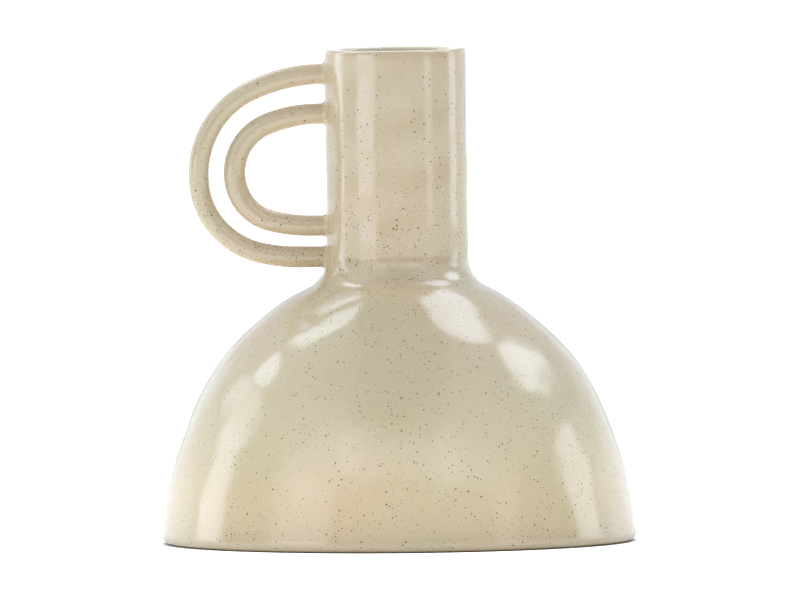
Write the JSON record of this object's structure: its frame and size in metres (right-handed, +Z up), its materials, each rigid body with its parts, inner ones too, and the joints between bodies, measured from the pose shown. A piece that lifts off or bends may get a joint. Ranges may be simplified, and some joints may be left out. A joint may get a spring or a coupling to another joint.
{
  "type": "vase",
  "caption": "Speckled stoneware vase with a domed body, a straight open neck and a side handle of nested round loops.",
  "frame": {"origin": "centre of the flat foot, on the surface that the vase stands on", "axes": "+Z up along the neck, handle towards -X with its loops in the XZ plane, front towards -Y"},
  "size_m": [0.2878, 0.2878, 0.3005],
  "materials": {
    "speckled_glaze": "gloss",
    "bare_clay": "matte"
  },
  "bodies": {
    "root": {"dome_body": "speckled_glaze", "base_slab": "speckled_glaze", "foot_ring": "bare_clay", "neck_tube": "speckled_glaze", "shoulder_coil": "speckled_glaze", "outer_handle": "speckled_glaze", "inner_handle": "speckled_glaze", "outer_handle_top_joint": "speckled_glaze", "outer_handle_bottom_joint": "speckled_glaze", "inner_handle_top_joint": "speckled_glaze", "inner_handle_bottom_joint": "speckled_glaze"}
  },
  "joints": []
}
